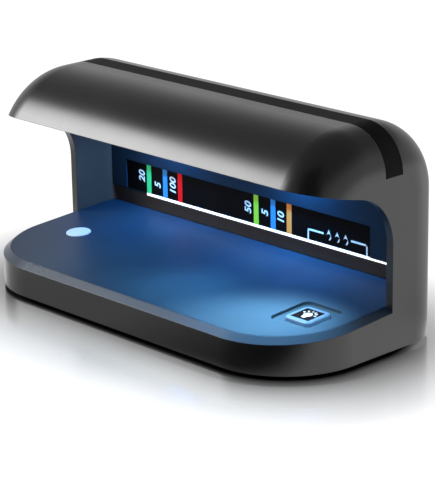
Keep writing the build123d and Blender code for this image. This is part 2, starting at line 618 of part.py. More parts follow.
tilt = math.radians(ROCKER_TILT)
rocker_crown = 4.2
edge_y = rocker_crown - 9 * math.tan(tilt)
with BuildPart() as rocker:
    rocker_plane = Plane(origin=(ROCKER_X, ROCKER_PIVOT_Y, SERVICE_Z),
                         x_dir=(math.cos(tilt), -math.sin(tilt), 0), z_dir=(0, 0, 1))
    with BuildSketch(rocker_plane):
        Circle(ROCKER_ARC_R)
        with BuildLine():
            Polyline((-9, edge_y), (0, rocker_crown), (9, edge_y), (9, 9), (-9, 9), close=True)
        make_face(mode=Mode.SUBTRACT)
    extrude(amount=ROCKER_HALF_Z, both=True)
    with Locations((ROCKER_X, ROCKER_PIVOT_Y, SERVICE_Z)):
        Cylinder(radius=0.8, height=2 * ROCKER_HALF_Z + 1.4)
save(rocker, "rocker")

# ======================= screws =======================
def screw(length, head_r, head_h, shank_r):
    """A pan-head screw pointing down, its head's top face at the origin, with a cross recess."""
    with BuildPart() as body:
        with BuildSketch():
            Circle(head_r)
        extrude(amount=-head_h)
        with BuildSketch(Plane.XY.offset(-head_h)):
            Circle(shank_r)
        extrude(amount=-length)
        with BuildSketch():
            Rectangle(1.3 * head_r, 0.5)
            Rectangle(0.5, 1.3 * head_r)
        extrude(amount=-0.6 * head_h, mode=Mode.SUBTRACT)
    return body.part


base_screw = screw(8.0, 2.9, 1.2, 1.15)
with BuildPart() as base_screws:
    with Locations(*[Location((x, y, FOOT_GAP + 0.2), (180, 0, 0)) for x, y in BASE_SCREWS]):
        add(base_screw)
save(base_screws, "base_screws")

cover_screw = screw(4.0, 2.9, 1.3, 1.3)
with BuildPart() as cover_screws:
    with Locations(*[Location((x, COVER_Y + 0.3, z), (-90, 0, 0)) for x, z in COVER_SCREWS]):
        add(cover_screw)
save(cover_screws, "cover_screws")

board_screw = screw(2.8, 2.2, 1.2, 0.95)
with BuildPart() as board_screws:
    with Locations(*[(x, y, BOARD_TOP_Z + 1.2) for x, y in BOARD_POSTS]):
        add(board_screw)
save(board_screws, "board_screws")

# ======================= leads =======================
def lead(points, radii, wire_r):
    """A round lead along straight runs joined by tangent arcs."""
    first = Vector(*points[1]) - Vector(*points[0])
    with BuildPart() as body:
        with BuildLine() as route:
            FilletPolyline(*points, radius=radii)
        with BuildSketch(Plane(origin=points[0], z_dir=first)):
            Circle(wire_r)
        sweep(path=route.line)
    return body.part


LEAD_Z = BOARD_TOP_Z + 3.0
SHAFT_X, SHAFT_Y = -97.0, 44.2
UV_LEAD_Z = UV_BOARD_Z + 0.6
UV_BOARD_END_X = -LAMP_LENGTH / 2 + 1
with BuildPart() as uv_lead:
    x, y = CONNECTORS[0]
    add(lead([(x, y + 2.6, LEAD_Z), (x, 33, LEAD_Z), (-66, 41, LEAD_Z), (SHAFT_X, SHAFT_Y, LEAD_Z + 3),
              (SHAFT_X, SHAFT_Y, UV_LEAD_Z), (SHAFT_X, LAMP_Y, UV_LEAD_Z),
              (UV_BOARD_END_X, LAMP_Y, UV_LEAD_Z)],
             [4, 12, 4, 10, 4], 0.6))
save(uv_lead, "uv_lead")

with BuildPart() as white_lead:
    x, y = CONNECTORS[1]
    led_board_z = 30.0
    add(lead([(x, y + 2.6, LEAD_Z), (x, 46.2, LEAD_Z), (x, 46.2, led_board_z)], [3], 0.5))
save(white_lead, "white_lead")

with BuildPart() as switch_lead:
    x, y = CONNECTORS[2]
    add(lead([(x + 2.6, y, LEAD_Z), (ROCKER_X, y, LEAD_Z), (ROCKER_X, SWITCH_BACK_Y, LEAD_Z)], [7], 0.8))
save(switch_lead, "switch_lead")

with BuildPart() as inlet_lead:
    x, y = CONNECTORS[3]
    add(lead([(x + 2.6, y, LEAD_Z), (62, y, LEAD_Z), (JACK_X, 12, LEAD_Z), (JACK_X, COVER_IN_Y - 10, LEAD_Z)],
             [7, 7], 0.8))
save(inlet_lead, "inlet_lead")

with BuildPart() as key_lead:
    board_end_x = BOARD_X + BOARD_LENGTH / 2
    key_end_x = KEY_X - 14
    add(lead([(board_end_x, -16, BOARD_Z + 0.8), (50, -16, BOARD_Z + 0.8), (60, -11, BOARD_Z + 0.6),
              (key_end_x, -11, BOARD_Z + 0.6)], [5, 5], 0.6))
save(key_lead, "key_lead")

with BuildPart() as spot_lead:
    spot_end_x = WINDOW_X + 8
    add(lead([(BOARD_X - BOARD_LENGTH / 2, -6, BOARD_Z + 0.8), (-52, -6, BOARD_Z + 0.8),
              (-60, WINDOW_Y, SPOT_Z + 0.5), (spot_end_x, WINDOW_Y, SPOT_Z + 0.5)], [5, 5], 0.5))
save(spot_lead, "spot_lead")
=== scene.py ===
import math

import bmesh
import bpy
from mathutils import Matrix, Vector


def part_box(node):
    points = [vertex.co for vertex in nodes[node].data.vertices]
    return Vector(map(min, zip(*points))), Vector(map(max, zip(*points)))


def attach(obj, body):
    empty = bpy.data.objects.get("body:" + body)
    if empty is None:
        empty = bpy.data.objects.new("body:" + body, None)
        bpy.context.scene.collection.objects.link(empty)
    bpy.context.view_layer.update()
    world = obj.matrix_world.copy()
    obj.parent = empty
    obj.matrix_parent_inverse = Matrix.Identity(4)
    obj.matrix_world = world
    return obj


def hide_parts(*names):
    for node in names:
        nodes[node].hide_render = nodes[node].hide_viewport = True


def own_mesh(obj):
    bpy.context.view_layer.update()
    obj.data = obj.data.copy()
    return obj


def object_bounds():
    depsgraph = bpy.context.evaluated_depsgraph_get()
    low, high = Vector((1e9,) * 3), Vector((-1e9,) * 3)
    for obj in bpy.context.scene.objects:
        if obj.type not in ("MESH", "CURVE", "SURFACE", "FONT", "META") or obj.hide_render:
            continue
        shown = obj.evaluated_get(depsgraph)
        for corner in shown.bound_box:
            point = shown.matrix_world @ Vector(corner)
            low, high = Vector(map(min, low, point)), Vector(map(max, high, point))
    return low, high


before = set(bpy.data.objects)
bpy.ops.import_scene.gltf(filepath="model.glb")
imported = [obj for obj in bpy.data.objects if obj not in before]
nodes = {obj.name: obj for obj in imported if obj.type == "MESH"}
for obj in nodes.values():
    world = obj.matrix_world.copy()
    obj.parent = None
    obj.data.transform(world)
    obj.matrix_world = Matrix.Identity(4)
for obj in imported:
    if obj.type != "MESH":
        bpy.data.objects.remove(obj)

MM = 0.001
cad_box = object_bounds()


def new_object(name, data):
    """An object that holds data, linked to the scene."""
    obj = bpy.data.objects.new(name, data)
    bpy.context.scene.collection.objects.link(obj)
    return obj


# ---------------------------------------------------------------- camera
CAMERA_LENS = 157.34                           # mm, on a 36 mm sensor
CAMERA_PLACE = (0.71419, -0.66612, 0.34593)
CAMERA_AZIMUTH, CAMERA_ELEVATION, CAMERA_ROLL = 46.45, 17.96, -0.98


def look_basis(azimuth, elevation, roll):
    """Unit vectors of a camera: towards its back, its right and its top."""
    az, el, ro = (math.radians(a) for a in (azimuth, elevation, roll))
    back = Vector((math.sin(az) * math.cos(el), -math.cos(az) * math.cos(el), math.sin(el)))
    level = Vector((math.cos(az), math.sin(az), 0.0))
    upright = back.cross(level)
    right = level * math.cos(ro) + upright * math.sin(ro)
    top = upright * math.cos(ro) - level * math.sin(ro)
    return back, right, top


def make_camera():
    """The photo's point of view, fitted to edges measured in the photo."""
    data = bpy.data.cameras.new("camera")
    data.sensor_width = 36.0
    data.sensor_fit = "AUTO"
    data.lens = CAMERA_LENS
    data.clip_start = 0.05
    data.clip_end = 50.0
    camera = new_object("camera", data)
    back, right, top = look_basis(CAMERA_AZIMUTH, CAMERA_ELEVATION, CAMERA_ROLL)
    turn = Matrix((right, top, back)).transposed().to_4x4()
    camera.matrix_world = Matrix.Translation(Vector(CAMERA_PLACE)) @ turn
    bpy.context.scene.camera = camera


make_camera()


# ---------------------------------------------------------------- node helpers
def blank_material(name):
    """A material with nothing but its output node."""
    material = bpy.data.materials.new(name)
    material.use_nodes = True
    tree = material.node_tree
    tree.nodes.clear()
    return material, tree, tree.nodes.new("ShaderNodeOutputMaterial")


def new_material(name):
    """A material with one Principled shader, still plain."""
    material, tree, output = blank_material(name)
    shader = tree.nodes.new("ShaderNodeBsdfPrincipled")
    tree.links.new(shader.outputs[0], output.inputs[0])
    return material, tree, shader


def noise(tree, scale, detail=3.0, roughness=0.5, stretch=(1, 1, 1)):
    """Noise fixed to the object, 0 to 1."""
    place = tree.nodes.new("ShaderNodeTexCoord")
    mapping = tree.nodes.new("ShaderNodeMapping")
    mapping.inputs["Scale"].default_value = stretch
    texture = tree.nodes.new("ShaderNodeTexNoise")
    texture.inputs["Scale"].default_value = scale
    texture.inputs["Detail"].default_value = detail
    texture.inputs["Roughness"].default_value = roughness
    tree.links.new(place.outputs["Object"], mapping.inputs[0])
    tree.links.new(mapping.outputs[0], texture.inputs["Vector"])
    return texture.outputs["Fac"]


def spread(tree, value, low, high, from_low=0.3, from_high=0.7):
    """Maps from_low..from_high to low..high and clamps there."""
    node = tree.nodes.new("ShaderNodeMapRange")
    node.inputs["From Min"].default_value = from_low
    node.inputs["From Max"].default_value = from_high
    node.inputs["To Min"].default_value = low
    node.inputs["To Max"].default_value = high
    tree.links.new(value, node.inputs["Value"])
    return node.outputs[0]


def arithmetic(tree, operation, first, second):
    node = tree.nodes.new("ShaderNodeMath")
    node.operation = operation
    tree.links.new(first, node.inputs[0])
    tree.links.new(second, node.inputs[1])
    return node.outputs[0]


def blend_colors(tree, value, first, second):
    """The first colour where value is 0, the second where it is 1."""
    node = tree.nodes.new("ShaderNodeMix")
    node.data_type = "RGBA"
    node.inputs["A"].default_value = (*first, 1)
    node.inputs["B"].default_value = (*second, 1)
    tree.links.new(value, node.inputs["Factor"])
    return node.outputs["Result"]


def bump(tree, shader, height, strength, distance):
    node = tree.nodes.new("ShaderNodeBump")
    node.inputs["Strength"].default_value = strength
    node.inputs["Distance"].default_value = distance
    tree.links.new(height, node.inputs["Height"])
    tree.links.new(node.outputs[0], shader.inputs["Normal"])
    return node


def moulded(name, color, rough, grain=2600.0, grain_depth=0.00003, strength=0.25, vary=0.12,
            specular=0.5, edge=0.0):
    """Moulded plastic: a fine grain, slight cloudiness in colour and gloss, softened edges."""
    material, tree, shader = new_material(name)
    clouds = noise(tree, 34.0, 4.0)
    dark = tuple(c * (1 - vary) for c in color)
    light = tuple(min(1.0, c * (1 + vary)) for c in color)
    tint = blend_colors(tree, spread(tree, clouds, 0, 1), dark, light)
    tree.links.new(tint, shader.inputs["Base Color"])
    smears = noise(tree, 11.0, 6.0, 0.62, (1.0, 0.6, 0.6))
    tree.links.new(spread(tree, smears, rough * 0.9, rough * 1.12), shader.inputs["Roughness"])
    shader.inputs["Specular IOR Level"].default_value = specular
    relief = bump(tree, shader, noise(tree, grain, 2.0), strength, grain_depth)
    if edge:
        rounded = tree.nodes.new("ShaderNodeBevel")
        rounded.samples = 4
        rounded.inputs["Radius"].default_value = edge
        tree.links.new(rounded.outputs[0], relief.inputs["Normal"])
    return material


def glowing(name, color, strength, base=(0.9, 0.9, 0.9)):
    """A lit translucent plastic, slightly uneven along its length; on the key's printed symbol the
    glow is painted light.
    """
    material, tree, shader = new_material(name)
    patches = noise(tree, 60.0, 2.0)
    tint = blend_colors(tree, spread(tree, patches, 0, 1), tuple(c * 0.96 for c in color), color)
    tree.links.new(tint, shader.inputs["Emission Color"])
    shader.inputs["Emission Strength"].default_value = strength
    shader.inputs["Base Color"].default_value = (*base, 1)
    tree.links.new(spread(tree, patches, 0.3, 0.42), shader.inputs["Roughness"])
    return material


def metal(name, color, rough, grain, stretch=(1, 1, 1)):
    """Bare metal with fine streaks in colour and gloss."""
    material, tree, shader = new_material(name)
    streaks = noise(tree, grain, 3.0, 0.6, stretch)
    tint = blend_colors(tree, spread(tree, streaks, 0, 1), tuple(c * 0.86 for c in color), color)
    tree.links.new(tint, shader.inputs["Base Color"])
    tree.links.new(spread(tree, streaks, rough * 0.8, rough * 1.25), shader.inputs["Roughness"])
    shader.inputs["Metallic"].default_value = 1.0
    bump(tree, shader, streaks, 0.2, 0.00002)
    return material


def clear_plastic(name, color, rough):
    """Clear acrylic, slightly hazy."""
    material, tree, shader = new_material(name)
    shader.inputs["Base Color"].default_value = (*color, 1)
    shader.inputs["Transmission Weight"].default_value = 1.0
    shader.inputs["IOR"].default_value = 1.49
    haze = noise(tree, 45.0, 4.0)
    tree.links.new(spread(tree, haze, rough * 0.6, rough * 1.5), shader.inputs["Roughness"])
    bump(tree, shader, noise(tree, 300.0, 2.0), 0.05, 0.00001)
    return material


def circuit_board(name, mask_color, track_color):
    """Solder mask with a faint pattern of tracks underneath."""
    material, tree, shader = new_material(name)
    place = tree.nodes.new("ShaderNodeTexCoord")
    bricks = tree.nodes.new("ShaderNodeTexBrick")
    bricks.inputs["Scale"].default_value = 160.0
    bricks.inputs["Mortar Size"].default_value = 0.03
    bricks.inputs["Color1"].default_value = (*mask_color, 1)
    bricks.inputs["Color2"].default_value = (*(c * 0.9 for c in mask_color), 1)
    bricks.inputs["Mortar"].default_value = (*track_color, 1)
    tree.links.new(place.outputs["Object"], bricks.inputs["Vector"])
    tree.links.new(bricks.outputs["Color"], shader.inputs["Base Color"])
    tree.links.new(spread(tree, noise(tree, 200.0), 0.28, 0.45), shader.inputs["Roughness"])
    bump(tree, shader, bricks.outputs["Fac"], 0.15, 0.00002)
    return material


# ---------------------------------------------------------------- materials of the CAD nodes
WALL_TINT = (0.075, 0.044, 0.036)
# painted light: the lamps' blue glow on the rim's top around the deck
RIM_PAINTED_LIGHT = (0.008, 0.022, 0.044)


def tint_inside(material, wall_color, rim_light_color):
    """Tints the moulding where it lines the chamber, and paints the lamps' blue light on the rim
    around the deck.
    """
    tree = material.node_tree
    shader = tree.nodes["Principled BSDF"]
    skin = shader.inputs["Base Color"].links[0].from_socket
    place = tree.nodes.new("ShaderNodeTexCoord")
    where = tree.nodes.new("ShaderNodeSeparateXYZ")
    facing = tree.nodes.new("ShaderNodeSeparateXYZ")
    geometry = tree.nodes.new("ShaderNodeNewGeometry")
    tree.links.new(place.outputs["Object"], where.inputs[0])
    tree.links.new(geometry.outputs["Normal"], facing.inputs[0])

    # a face that looks towards the middle plane has x and its normal's x of opposite sign
    inwardness = arithmetic(tree, "MULTIPLY", where.outputs["X"], facing.outputs["X"])
    inward = spread(tree, inwardness, 1, 0, -0.07, -0.03)
    low = spread(tree, where.outputs["Z"], 1, 0, 0.0245, 0.0260)
    upward = spread(tree, facing.outputs["Z"], 0, 1, 0.10, 0.30)
    ahead = spread(tree, where.outputs["Y"], 1, 0, 0.020, 0.030)
    # the rim's upward faces in front of the back get painted blue lamp light
    rim = arithmetic(tree, "MULTIPLY", arithmetic(tree, "MULTIPLY", low, upward), ahead)
    for mask, color in ((inward, wall_color), (rim, rim_light_color)):
        mix = blend_colors(tree, mask, (0, 0, 0), color)
        tree.links.new(skin, mix.node.inputs["A"])
        skin = mix
    tree.links.new(skin, shader.inputs["Base Color"])


shell = moulded("shell", (0.0045, 0.0046, 0.005), 0.29, specular=0.55, edge=0.0004)
tint_inside(shell, WALL_TINT, RIM_PAINTED_LIGHT)
covers = moulded("covers", (0.022, 0.022, 0.024), 0.5, grain=1900.0, strength=0.4, edge=0.0005)
deck = moulded("deck", (0.010, 0.027, 0.048), 0.44, specular=0.28, edge=0.0004)
panel = moulded("panel", (0.008, 0.021, 0.036), 0.42, specular=0.06, edge=0.0003)
bezel = moulded("bezel", (0.020, 0.014, 0.011), 0.36, specular=0.27, grain=1800.0)
liner = moulded("liner", (0.05, 0.052, 0.058), 0.5)
label_black = moulded("label_black", (0.002, 0.002, 0.0025), 0.3, grain=700.0, strength=0.05,
                      vary=0.3, specular=0.04)
strip = moulded("strip", (0.010, 0.010, 0.0105), 0.3, grain=1500.0, strength=0.08,
                vary=0.3, specular=0.004)
switch_black = moulded("switch_black", (0.010, 0.010, 0.011), 0.38)
rocker_black = moulded("rocker_black", (0.006, 0.006, 0.007), 0.17, strength=0.08)
chip_black = moulded("chip_black", (0.012, 0.012, 0.013), 0.55, grain=1500.0, strength=0.4)
cream = moulded("cream", (0.62, 0.58, 0.46), 0.45)
key_blue = moulded("key_blue", (0.022, 0.048, 0.085), 0.30, edge=0.0004)
# the key glows a little, as the light that falls on it in the photo is stronger than the scene's
key_skin = key_blue.node_tree.nodes["Principled BSDF"]
key_skin.inputs["Emission Color"].default_value = (0.10, 0.30, 0.62, 1)
key_skin.inputs["Emission Strength"].default_value = 0.40
rubber = moulded("rubber", (0.016, 0.016, 0.016), 0.72, grain=1400.0, strength=0.6, specular=0.3)
sheath = moulded("sheath", (0.018, 0.018, 0.020), 0.46)
milky = glowing("milky", (0.70, 0.85, 1.0), 0.12, (0.45, 0.50, 0.56))
light_line = glowing("light_line", (0.95, 0.97, 1.0), 0.95)
uv_glow = glowing("uv_glow", (0.20, 0.30, 1.0), 0.9)
white_glow = glowing("white_glow", (1.0, 0.97, 0.85), 2.0)
window_clear = clear_plastic("window_clear", (0.86, 0.90, 1.0), 0.06)
reflector = metal("reflector", (0.86, 0.87, 0.9), 0.12, 40.0, (0.2, 1, 1))
steel = metal("steel", (0.09, 0.09, 0.095), 0.34, 1500.0)
spring_steel = metal("spring_steel", (0.62, 0.62, 0.63), 0.25, 1200.0)
can_metal = metal("can_metal", (0.75, 0.76, 0.78), 0.28, 700.0, (1, 1, 0.1))
contact = metal("contact", (0.86, 0.68, 0.34), 0.22, 1600.0)
white_board = circuit_board("white_board", (0.78, 0.79, 0.80), (0.66, 0.67, 0.68))
green_board = circuit_board("green_board", (0.012, 0.12, 0.045), (0.03, 0.24, 0.09))

finishes = {
    "housing_shell": shell, "top_strip": strip, "rear_cover": covers, "bottom_cover": covers,
    "note_deck": deck, "deck_window": milky, "back_panel": panel, "label_plate": label_black,
    "lower_bezel": bezel, "light_guide": light_line, "hood_liner": liner, "uv_window": window_clear,
    "uv_reflector": reflector, "uv_led_board": white_board, "uv_leds": uv_glow,
    "white_leds": white_glow, "white_led_board": white_board, "spot_led": white_glow,
    "spot_board": green_board, "main_board": green_board, "key_board": green_board,
    "key_cap": key_blue, "key_icon": label_black, "key_plunger": switch_black,
    "key_spring": spring_steel, "key_switch": switch_black, "board_chips": chip_black,
    "capacitors": can_metal, "board_connectors": cream, "buzzer": chip_black,
    "dc_jack": switch_black, "jack_pin": contact, "rocker_body": switch_black,
    "rocker": rocker_black, "rubber_feet": rubber, "base_screws": steel, "cover_screws": steel,
    "board_screws": spring_steel, "uv_lead": sheath, "white_lead": sheath, "switch_lead": sheath,
    "inlet_lead": sheath, "key_lead": sheath, "spot_lead": sheath,
}
for name, material in finishes.items():
    data = nodes[name].data
    data.materials.clear()
    data.materials.append(material)


# ---------------------------------------------------------------- the key's spring, as a copy with a mesh of its own
coil = new_object("spring_coil", nodes["key_spring"].data.copy())
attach(coil, "housing")
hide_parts("key_spring")
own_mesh(coil)


# ---------------------------------------------------------------- printed marks as thin solids
def prism(name, outlines, place, thick, body, material):
    """Flat shapes, given as closed outlines, raised by thick along the local normal."""
    mesh = bpy.data.meshes.new(name)
    bm = bmesh.new()
    for outline in outlines:
        lower = [bm.verts.new((x, y, 0.0)) for x, y in outline]
        upper = [bm.verts.new((x, y, thick)) for x, y in outline]
        bm.faces.new(upper)
        bm.faces.new(lower[::-1])
        count = len(outline)
        for i in range(count):
            j = (i + 1) % count
            bm.faces.new((lower[i], lower[j], upper[j], upper[i]))
    bmesh.ops.recalc_face_normals(bm, faces=bm.faces)
    bm.to_mesh(mesh)
    bm.free()
    mesh.transform(place)
    mesh.materials.append(material)
    obj = new_object(name, mesh)
    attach(obj, body)


def rounded_box(x, z, radius, steps=4):
    """A closed outline of a rectangle with rounded corners."""
    points = []
    for cx, cz, start in ((x[1] - radius, z[1] - radius, 0), (x[0] + radius, z[1] - radius, 90),
                          (x[0] + radius, z[0] + radius, 180), (x[1] - radius, z[0] + radius, 270)):
        for i in range(steps + 1):
            angle = math.radians(start + 90 * i / steps)
            points.append((cx + radius * math.cos(angle), cz + radius * math.sin(angle)))
    return points


PRINT = 0.12 * MM            # how far a printed mark stands proud
BAR_WIDTH = 3.2              # these and the places of the marks below are in millimetres
NUMBER_SIZE = 6.0
NUMBER_SLANT = 0.16
NUMBER_BOLDNESS = 0.12 * MM

label_low, label_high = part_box("label_plate")
# the label's face: local x runs along the width, local y up, and the normal faces the front
label_place = Matrix(((1, 0, 0, 0), (0, 0, -1, label_low.y), (0, 1, 0, 0), (0, 0, 0, 1)))
bar_z = (label_low.z + 0.1 * MM, label_high.z - 0.15 * MM)
bars = (("green", -78.9, (0.05, 0.72, 0.22)), ("blue", -66.8, (0.045, 0.30, 0.72)),
        ("red", -55.7, (1.0, 0.008, 0.012)), ("lime", -1.6, (0.38, 0.80, 0.06)),
        ("sky", 10.0, (0.045, 0.30, 0.72)), ("orange", 20.8, (0.98, 0.30, 0.06)))
for label, left, color in bars:
    ink = moulded("ink_" + label, color, 0.35, grain=1200.0, strength=0.08, vary=0.06, specular=0.08)
    outline = rounded_box((left * MM, (left + BAR_WIDTH) * MM), bar_z, 0.15 * MM)
    prism("bar_" + label, [outline], label_place, PRINT, "housing", ink)

white_ink = moulded("white_ink", (0.80, 0.82, 0.84), 0.4, grain=1200.0, strength=0.08, vary=0.05)


def number(text, x, z):
    """A printed number, turned to read upwards, centred on x and z."""
    curve = bpy.data.curves.new("number_" + text, "FONT")
    curve.body = text
    curve.size = NUMBER_SIZE * MM
    curve.align_x = "CENTER"
    curve.align_y = "CENTER"
    curve.extrude = PRINT / 2
    curve.shear = NUMBER_SLANT
    curve.offset = NUMBER_BOLDNESS
    curve.resolution_u = 6
    curve.materials.append(white_ink)
    obj = new_object("number_%s_%d" % (text, round(abs(x))), curve)
    spin = Matrix.Rotation(math.radians(90), 4, "Z")
    obj.matrix_world = label_place @ Matrix.Translation((x * MM, z * MM, PRINT / 2)) @ spin
    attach(obj, "housing")


for text, x, z in (("20", -82.5, 40.4), ("5", -70.6, 37.8), ("100", -59.3, 39.6),
                   ("50", -5.4, 39.6), ("5", 6.2, 39.2), ("10", 17.0, 39.0)):
    number(text, x, z)

# the two halves of a bracket, each a level and an upright arm, with three drops between them
arms = [((34.6, 45.0), (36.9, 37.8)), ((34.6, 35.5), (32.3, 37.8)),
        ((62.7, 73.1), (36.9, 37.8)), ((72.2, 73.1), (32.3, 37.8))]
outlines = [[(x * MM, z * MM) for x, z in ((left, low), (right, low), (right, high), (left, high))]
            for (left, right), (low, high) in arms]
prism("lit_area_bracket", outlines, label_place, PRINT, "housing", white_ink)


DROP_Z, DROP_RADIUS, DROP_TALL = 36.2, 1.6, 3.5


def drop_outline(cx, cz, radius, tall):
    """A drop: a point at the top above a round bottom."""
    points = [(cx, cz + tall)]
    for i in range(15):
        angle = math.radians(150 - 20 * i if i < 13 else 30)
        points.append((cx + radius * math.cos(angle), cz + radius * math.sin(angle)))
    return points


drops = [[(x * MM, z * MM) for x, z in drop_outline(cx, DROP_Z, DROP_RADIUS, DROP_TALL)]
         for cx in (48.4, 53.8, 59.2)]
prism("lit_area_drops", drops, label_place, PRINT, "housing", white_ink)


# ---------------------------------------------------------------- marks on the rear cover
MARK_GAP = 3.2               # millimetres from the switch's body up to the marks' centres
rear_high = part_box("rear_cover")[1]
rocker_low, rocker_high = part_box("rocker_body")
jack_low, jack_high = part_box("dc_jack")
mark_z = rocker_high.z / MM + MARK_GAP
# the cover's face, seen from behind: local x runs to the viewer's right
rear_place = Matrix(((-1, 0, 0, 0), (0, 0, 1, rear_high.y), (0, 1, 0, 0), (0, 0, 0, 1)))


def scaled(points, cx, cz):
    """Points in millimetres about a centre, in metres."""
    return [((cx + x) * MM, (cz + z) * MM) for x, z in points]


def arc_band(radius, wide, start, sweep, steps=14):
    """A band of the given width along an arc, angles in degrees."""
    angles = [math.radians(start + sweep * i / steps) for i in range(steps + 1)]
    outer = [((radius + wide / 2) * math.cos(a), (radius + wide / 2) * math.sin(a)) for a in angles]
    inner = [((radius - wide / 2) * math.cos(a), (radius - wide / 2) * math.sin(a)) for a in angles]
    return outer + inner[::-1]


def bar(x, z, width, height):
    """A rectangle about x and z."""
    return [(x - width / 2, z - height / 2), (x + width / 2, z - height / 2),
            (x + width / 2, z + height / 2), (x - width / 2, z + height / 2)]


grey_ink = moulded("grey_ink", (0.34, 0.34, 0.35), 0.45, grain=1200.0, strength=0.08, vary=0.05,
                   specular=0.2)
rocker_x = -(rocker_low.x + rocker_high.x) / 2 / MM
jack_x = -(jack_low.x + jack_high.x) / 2 / MM
on_mark = [scaled(bar(-3.6, 0, 0.5, 2.6), rocker_x, mark_z)]
off_mark = [scaled([(x + 3.6, z) for x, z in arc_band(1.2, 0.45, turn, 180)], rocker_x, mark_z)
            for turn in (0, 180)]
# a ring open to the right about a dot, with a plus to one side and a minus to the other
polarity = [arc_band(1.5, 0.35, 45, 270), arc_band(0.28, 0.56, 0, 359.9), bar(2.2, 0, 3.4, 0.35),
            bar(-2.6, 0, 2.0, 0.35), bar(4.9, 0, 1.3, 0.35), bar(4.9, 0.42, 0.35, 0.48),
            bar(4.9, -0.42, 0.35, 0.48), bar(-4.7, 0, 1.2, 0.35)]
prism("mark_on", on_mark, rear_place, PRINT, "housing", grey_ink)
prism("mark_off", off_mark, rear_place, PRINT, "housing", grey_ink)
prism("mark_polarity", [scaled(shape, jack_x, mark_z) for shape in polarity], rear_place, PRINT,
      "housing", grey_ink)


# ---------------------------------------------------------------- lamp symbol on the key
DECK_SLOPE = 0.06            # the deck and the key's face rise towards the back
SYMBOL_RAISE = 0.1 * MM
SYMBOL_SHIFT = (0.2, -0.2)   # millimetres off the field's centre
icon_low, icon_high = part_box("key_icon")
icon_centre = Vector(((icon_low.x + icon_high.x) / 2, (icon_low.y + icon_high.y) / 2, 0))
icon_mid_z = icon_high.z - DECK_SLOPE * (icon_high.y - icon_centre.y)
tilt = Matrix.Rotation(math.atan(DECK_SLOPE), 4, "X")
icon_place = Matrix.Translation((icon_centre.x, icon_centre.y, icon_mid_z)) @ tilt


def bulb_outline(radius, neck, foot):
    """A round bulb over a narrower neck."""
    points = []
    for i in range(21):
        angle = math.radians(-50 + 280 * i / 20)
        points.append((radius * math.cos(angle), radius * math.sin(angle)))
    points += [(-neck, -foot), (neck, -foot)]
    return points


def turned(points, degrees, dx, dy):
    """Points in millimetres, turned and then shifted, in metres."""
    c, s = math.cos(math.radians(degrees)), math.sin(math.radians(degrees))
    return [((x * c - y * s + dx) * MM, (x * s + y * c + dy) * MM) for x, y in points]


wide, near, far = 0.42, 3.1, 4.5
ray = [(-wide, near), (wide, near), (wide * 1.15, far), (-wide * 1.15, far)]
rays = [turned(ray, -84 + 30 * i, *SYMBOL_SHIFT) for i in range(6)]
symbol = [turned(bulb_outline(2.25, 0.95, 3.7), 0, *SYMBOL_SHIFT)] + rays
# the symbol's white print glows a little: painted light, like the key's glow
icon_white_painted_glow = glowing("icon_white_painted_glow", (0.80, 0.90, 1.0), 0.22, (0.10, 0.12, 0.13))
prism("key_symbol", symbol, icon_place, SYMBOL_RAISE, "key", icon_white_painted_glow)


# ---------------------------------------------------------------- studio
FLOOR_GAP = 0.00005          # the floor lies this far below the feet, against flicker
MIRROR_GAP = 0.0004          # and the floor that reflections see lies this far below
FLOOR_HALF = 6.0
MIRROR_HALF = 3.0
BASE_CORNER = 0.041          # radius of the base's corners in plan
FAR_ABOVE = 9.0              # higher than anything, so that only x and y count
SHEEN_REACH = 0.061          # how far from the base the floor still mirrors it
LEFT_GLOW = 0.85             # brightness mirrored at the far left of the front
FRONT_GLOW = 0.62            # and along the front
REAR_GLOW = 1.52             # and from under and behind the object
REAR_SHADE = 0.72            # taken off behind the object, up to its right end


def vector_math(tree, operation, value, constant=None):
    node = tree.nodes.new("ShaderNodeVectorMath")
    node.operation = operation
    tree.links.new(value, node.inputs[0])
    if constant is not None:
        node.inputs[1].default_value = constant
    return node


def distance_fade(tree, near, far, reach):
    """A value that goes from near at the object's outline to far at the given reach from it."""
    place = tree.nodes.new("ShaderNodeTexCoord")
    half = ((cad_box[1][0] - cad_box[0][0]) / 2 - BASE_CORNER,
            (cad_box[1][1] - cad_box[0][1]) / 2 - BASE_CORNER, FAR_ABOVE)
    folded = vector_math(tree, "ABSOLUTE", place.outputs["Object"]).outputs[0]
    beyond = vector_math(tree, "SUBTRACT", folded, half).outputs[0]
    outside = vector_math(tree, "MAXIMUM", beyond, (0, 0, 0)).outputs[0]
    length = vector_math(tree, "LENGTH", outside).outputs["Value"]
    return spread(tree, length, near, far, BASE_CORNER, BASE_CORNER + reach)


